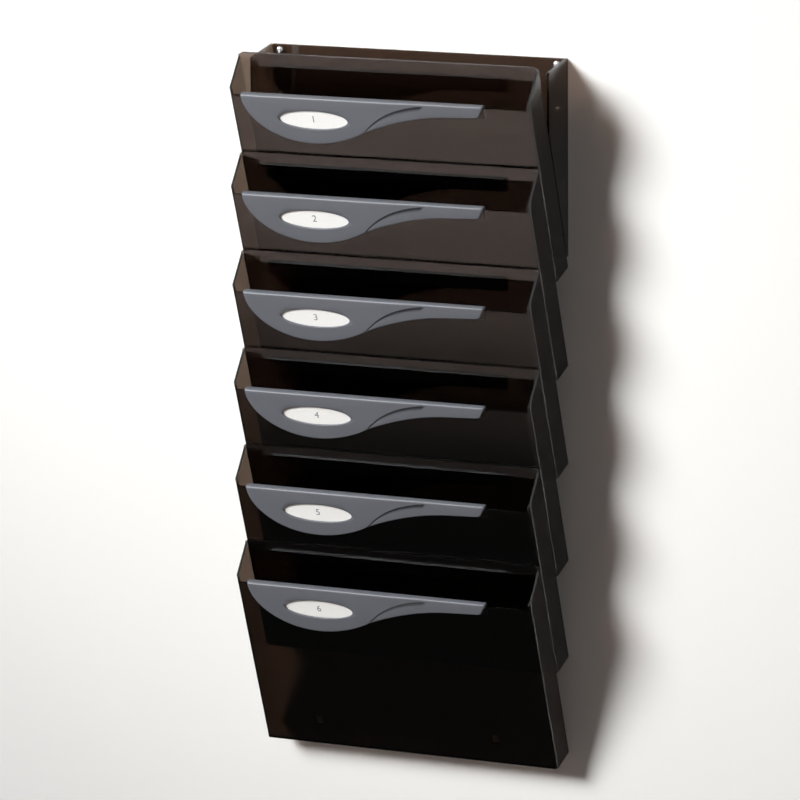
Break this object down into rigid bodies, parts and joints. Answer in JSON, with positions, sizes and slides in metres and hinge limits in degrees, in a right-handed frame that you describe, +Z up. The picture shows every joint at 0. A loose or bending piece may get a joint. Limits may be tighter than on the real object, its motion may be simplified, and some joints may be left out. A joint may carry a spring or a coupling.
{
  "type": "wall file holder",
  "caption": "Cascading wall file holder: smoke-tinted letter-size pockets hooked down a wall in steps, with swept clip-on label holders over their front rims.",
  "frame": {"origin": "on the back face of the wall pocket, midway between its two upper screws", "axes": "+X along the width, to the right as seen from the room; +Y into the wall; +Z up"},
  "size_m": [0.3302, 0.1275, 0.7325],
  "materials": {
    "smoke_plastic": "clear smoke-tinted polystyrene, polished mould finish",
    "slate_plastic": "opaque blue-grey ABS, fine satin mould finish",
    "label_card": "uncoated white paper card",
    "zinc_steel": "bright zinc-plated steel"
  },
  "bodies": {
    "wall_mount": {"wall_pocket": "smoke_plastic", "wall_screw_1": "zinc_steel", "wall_screw_2": "zinc_steel", "wall_screw_3": "zinc_steel", "wall_screw_4": "zinc_steel"},
    "pocket_1_body": {"pocket_1": "smoke_plastic"},
    "label_1_body": {"label_holder_1": "slate_plastic", "label_card_1": "label_card"},
    "pocket_2_body": {"pocket_2": "smoke_plastic"},
    "label_2_body": {"label_holder_2": "slate_plastic", "label_card_2": "label_card"},
    "pocket_3_body": {"pocket_3": "smoke_plastic"},
    "label_3_body": {"label_holder_3": "slate_plastic", "label_card_3": "label_card"},
    "pocket_4_body": {"pocket_4": "smoke_plastic"},
    "label_4_body": {"label_holder_4": "slate_plastic", "label_card_4": "label_card"},
    "pocket_5_body": {"pocket_5": "smoke_plastic"},
    "label_5_body": {"label_holder_5": "slate_plastic", "label_card_5": "label_card"},
    "pocket_6_body": {"pocket_6": "smoke_plastic"},
    "label_6_body": {"label_holder_6": "slate_plastic", "label_card_6": "label_card"}
  },
  "joints": [
    {"name": "pocket_1_lift", "type": "slide", "parent": "wall_mount", "child": "pocket_1_body", "axis": [0, -0.3371, 0.9415], "range_m": [0, 0.0068]},
    {"name": "label_holder_1_lift", "type": "slide", "parent": "pocket_1_body", "child": "label_1_body", "axis": [0, -0.3502, 0.9367], "range_m": [0, 0.014]},
    {"name": "pocket_2_lift", "type": "slide", "parent": "pocket_1_body", "child": "pocket_2_body", "axis": [0, -0.3371, 0.9415], "range_m": [0, 0.0068]},
    {"name": "label_holder_2_lift", "type": "slide", "parent": "pocket_2_body", "child": "label_2_body", "axis": [0, -0.3502, 0.9367], "range_m": [0, 0.014]},
    {"name": "pocket_3_lift", "type": "slide", "parent": "pocket_2_body", "child": "pocket_3_body", "axis": [0, -0.3371, 0.9415], "range_m": [0, 0.0068]},
    {"name": "label_holder_3_lift", "type": "slide", "parent": "pocket_3_body", "child": "label_3_body", "axis": [0, -0.3502, 0.9367], "range_m": [0, 0.014]},
    {"name": "pocket_4_lift", "type": "slide", "parent": "pocket_3_body", "child": "pocket_4_body", "axis": [0, -0.3371, 0.9415], "range_m": [0, 0.0068]},
    {"name": "label_holder_4_lift", "type": "slide", "parent": "pocket_4_body", "child": "label_4_body", "axis": [0, -0.3502, 0.9367], "range_m": [0, 0.014]},
    {"name": "pocket_5_lift", "type": "slide", "parent": "pocket_4_body", "child": "pocket_5_body", "axis": [0, -0.3371, 0.9415], "range_m": [0, 0.0068]},
    {"name": "label_holder_5_lift", "type": "slide", "parent": "pocket_5_body", "child": "label_5_body", "axis": [0, -0.3502, 0.9367], "range_m": [0, 0.014]},
    {"name": "pocket_6_lift", "type": "slide", "parent": "pocket_5_body", "child": "pocket_6_body", "axis": [0, -0.3371, 0.9415], "range_m": [0, 0.0068]},
    {"name": "label_holder_6_lift", "type": "slide", "parent": "pocket_6_body", "child": "label_6_body", "axis": [0, -0.3502, 0.9367], "range_m": [0, 0.014]}
  ]
}
